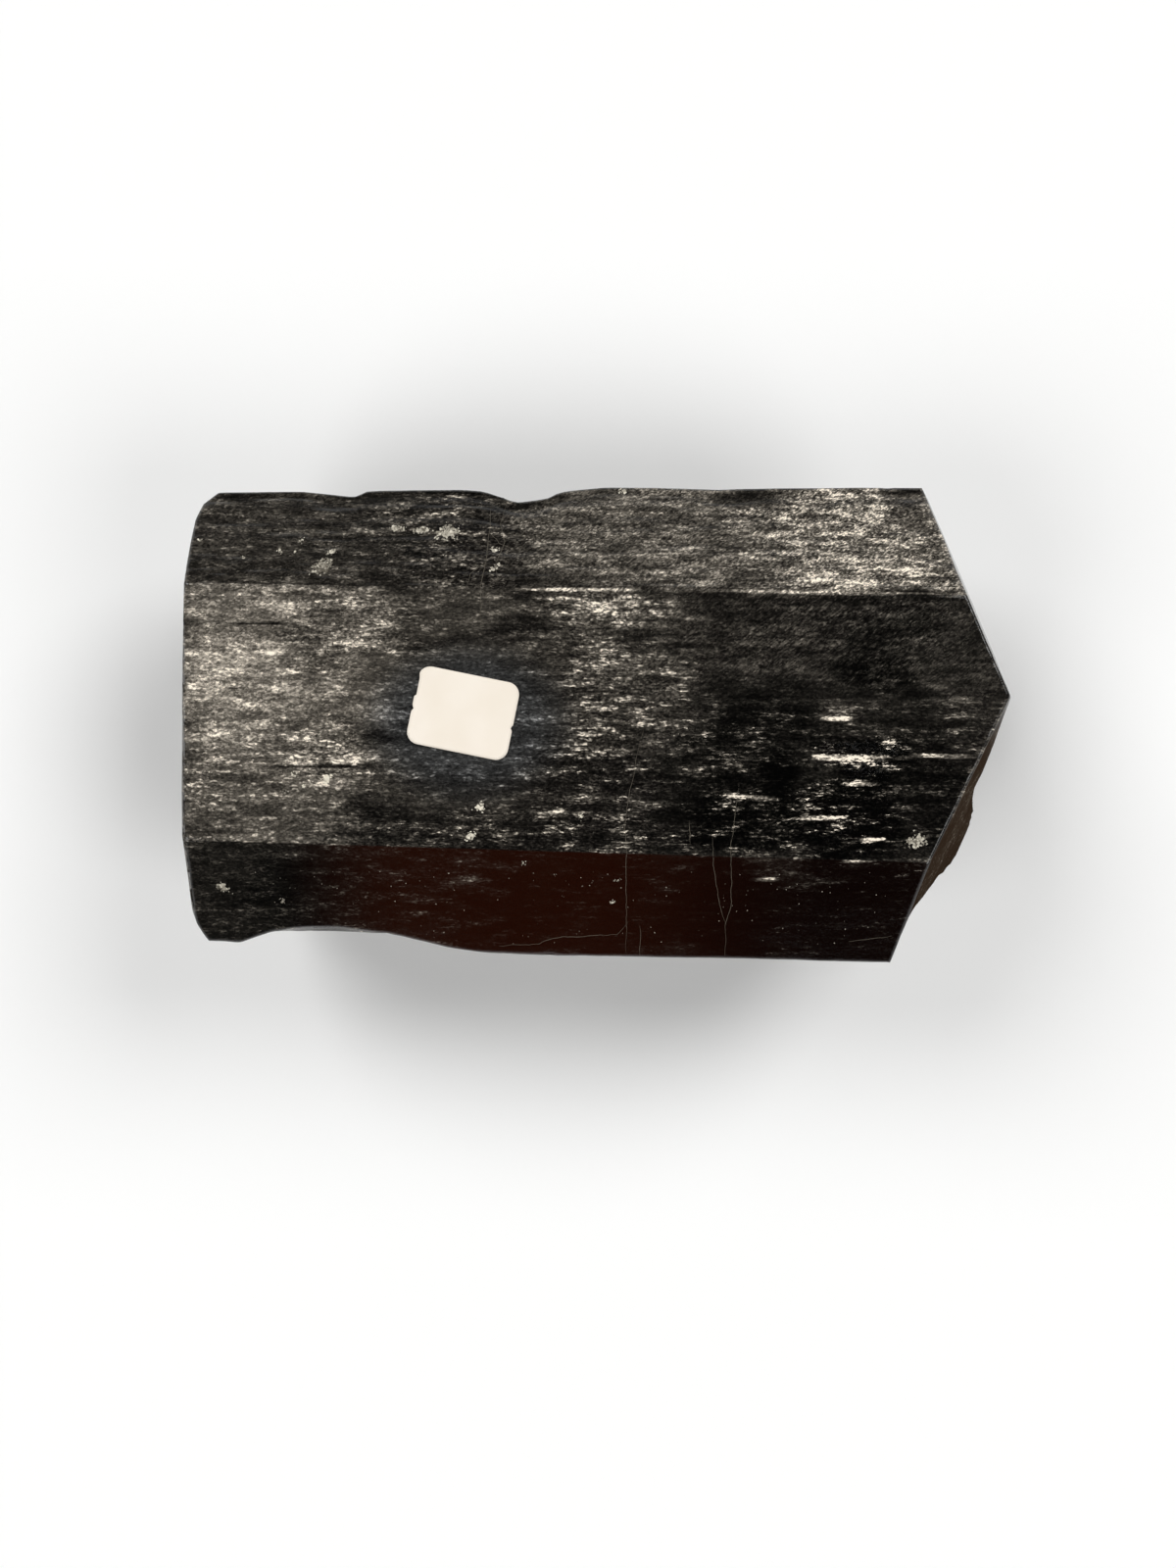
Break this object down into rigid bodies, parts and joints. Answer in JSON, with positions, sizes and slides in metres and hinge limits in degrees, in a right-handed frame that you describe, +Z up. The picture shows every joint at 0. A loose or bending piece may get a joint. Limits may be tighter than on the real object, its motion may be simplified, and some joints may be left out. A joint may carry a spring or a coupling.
{
  "type": "black tourmaline crystal with a paper label",
  "caption": "Large black tourmaline prism lying on its side, striated, with a natural pyramid end, a broken base and a small bare paper label on the top face.",
  "frame": {"origin": "under the middle of the crystal's bounding box, in the plane that it rests on", "axes": "+X along the crystal's long axis (c axis) from the broken base to the pyramid end, +Z up, square to the flat top face that carries the label, +Y across the crystal"},
  "size_m": [0.2013, 0.1193, 0.0786],
  "materials": {
    "schorl": "opaque black, striated along its length, glassy with many frosted and glinting flakes",
    "label_paper": "matt cream paper, bare"
  },
  "bodies": {
    "root": {"crystal": "schorl", "price_label": "label_paper"}
  },
  "joints": []
}
